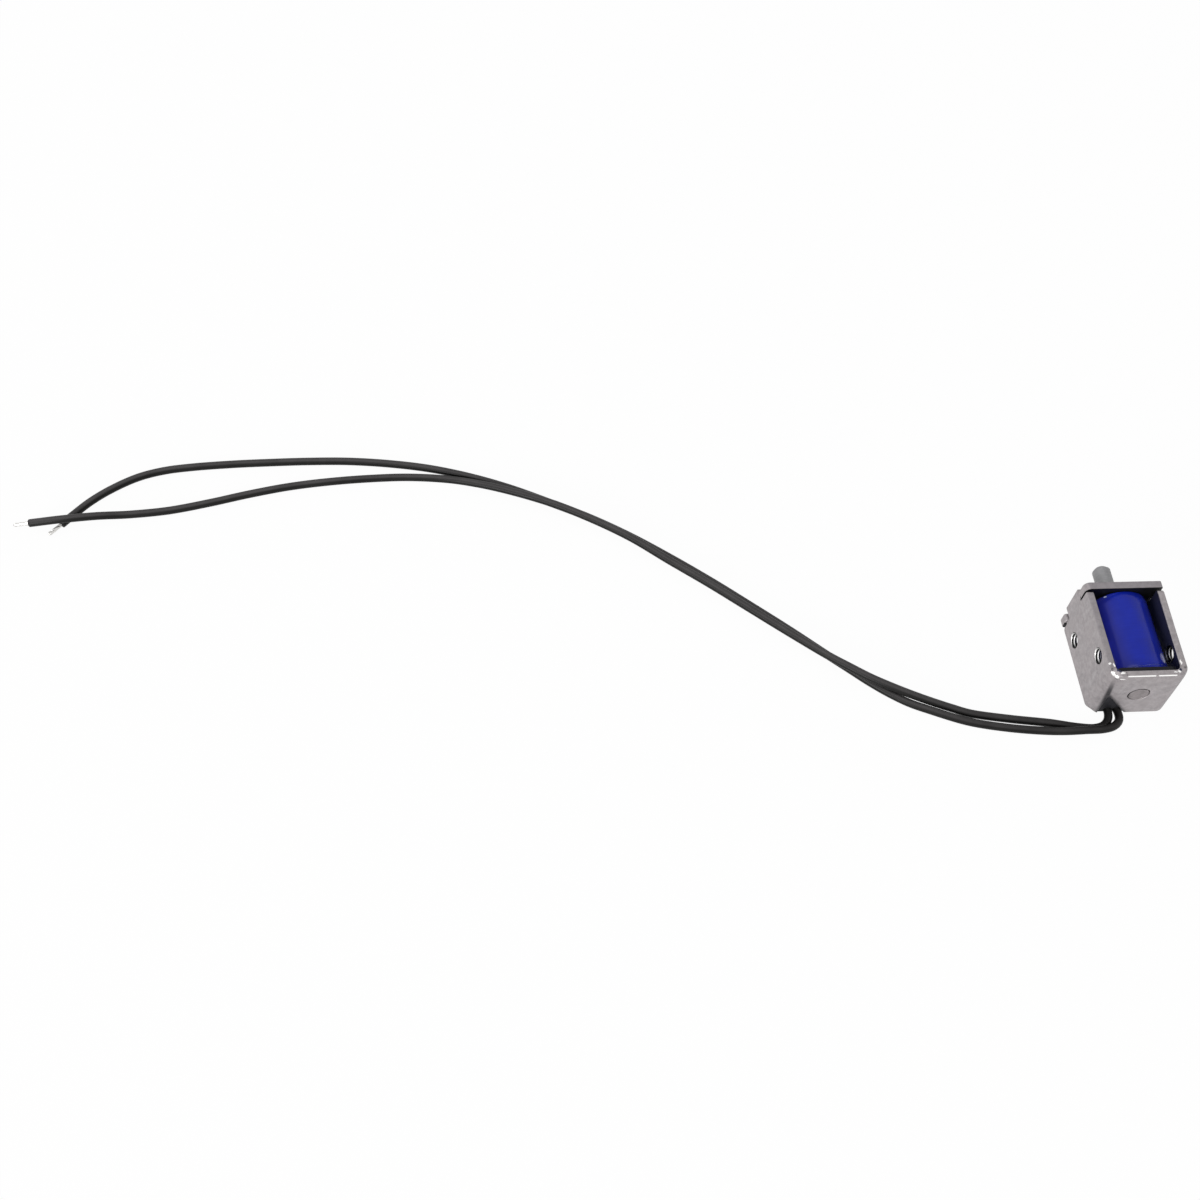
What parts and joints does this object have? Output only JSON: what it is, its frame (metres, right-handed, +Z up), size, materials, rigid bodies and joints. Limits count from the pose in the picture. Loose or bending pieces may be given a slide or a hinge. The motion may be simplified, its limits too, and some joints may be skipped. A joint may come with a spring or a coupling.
{
  "type": "locking solenoid",
  "caption": "Miniature open-frame solenoid lock: a spring holds a round pin out of the end plate, and the taped coil pulls it in. Tapped side plates, two loose leads with bare ends.",
  "frame": {"origin": "on the table, under the middle of the solenoid's length over the pin, leads left out", "axes": "+Y along the lock pin, out of the end plate; +Z up, out of the open window; +X across the side plates"},
  "size_m": [0.14, 0.0441, 0.0087],
  "materials": {
    "plated_steel": "matt plated steel strip",
    "bobbin_plastic": "black moulded plastic",
    "brass_tube": "drawn brass",
    "enamelled_copper": "enamelled copper wire",
    "blue_tape": "glossy blue polyester tape",
    "core_iron": "turned soft iron",
    "pin_steel": "ground steel",
    "washer_nylon": "natural nylon",
    "spring_steel": "spring wire",
    "tin": "tinned copper strands and solder",
    "lead_insulation": "black satin vinyl"
  },
  "bodies": {
    "solenoid": {"frame": "plated_steel", "end_plate": "plated_steel", "bobbin": "bobbin_plastic", "guide_tube": "brass_tube", "coil_winding": "enamelled_copper", "coil_tape": "blue_tape", "fixed_core": "core_iron", "return_spring": "spring_steel", "solder_joint_1": "tin", "solder_joint_2": "tin", "lead_1": "lead_insulation", "lead_2": "lead_insulation", "lead_1_end": "tin", "lead_2_end": "tin"},
    "armature": {"plunger": "core_iron", "lock_pin": "pin_steel", "damper_washer": "washer_nylon"}
  },
  "joints": [
    {"name": "pin_slide", "type": "slide", "parent": "solenoid", "child": "armature", "axis": [0, 1, 0], "range_m": [-0.0025, 0], "stiffness_N_per_m": 100, "springref_m": 0.002, "deforming": ["return_spring"]}
  ]
}
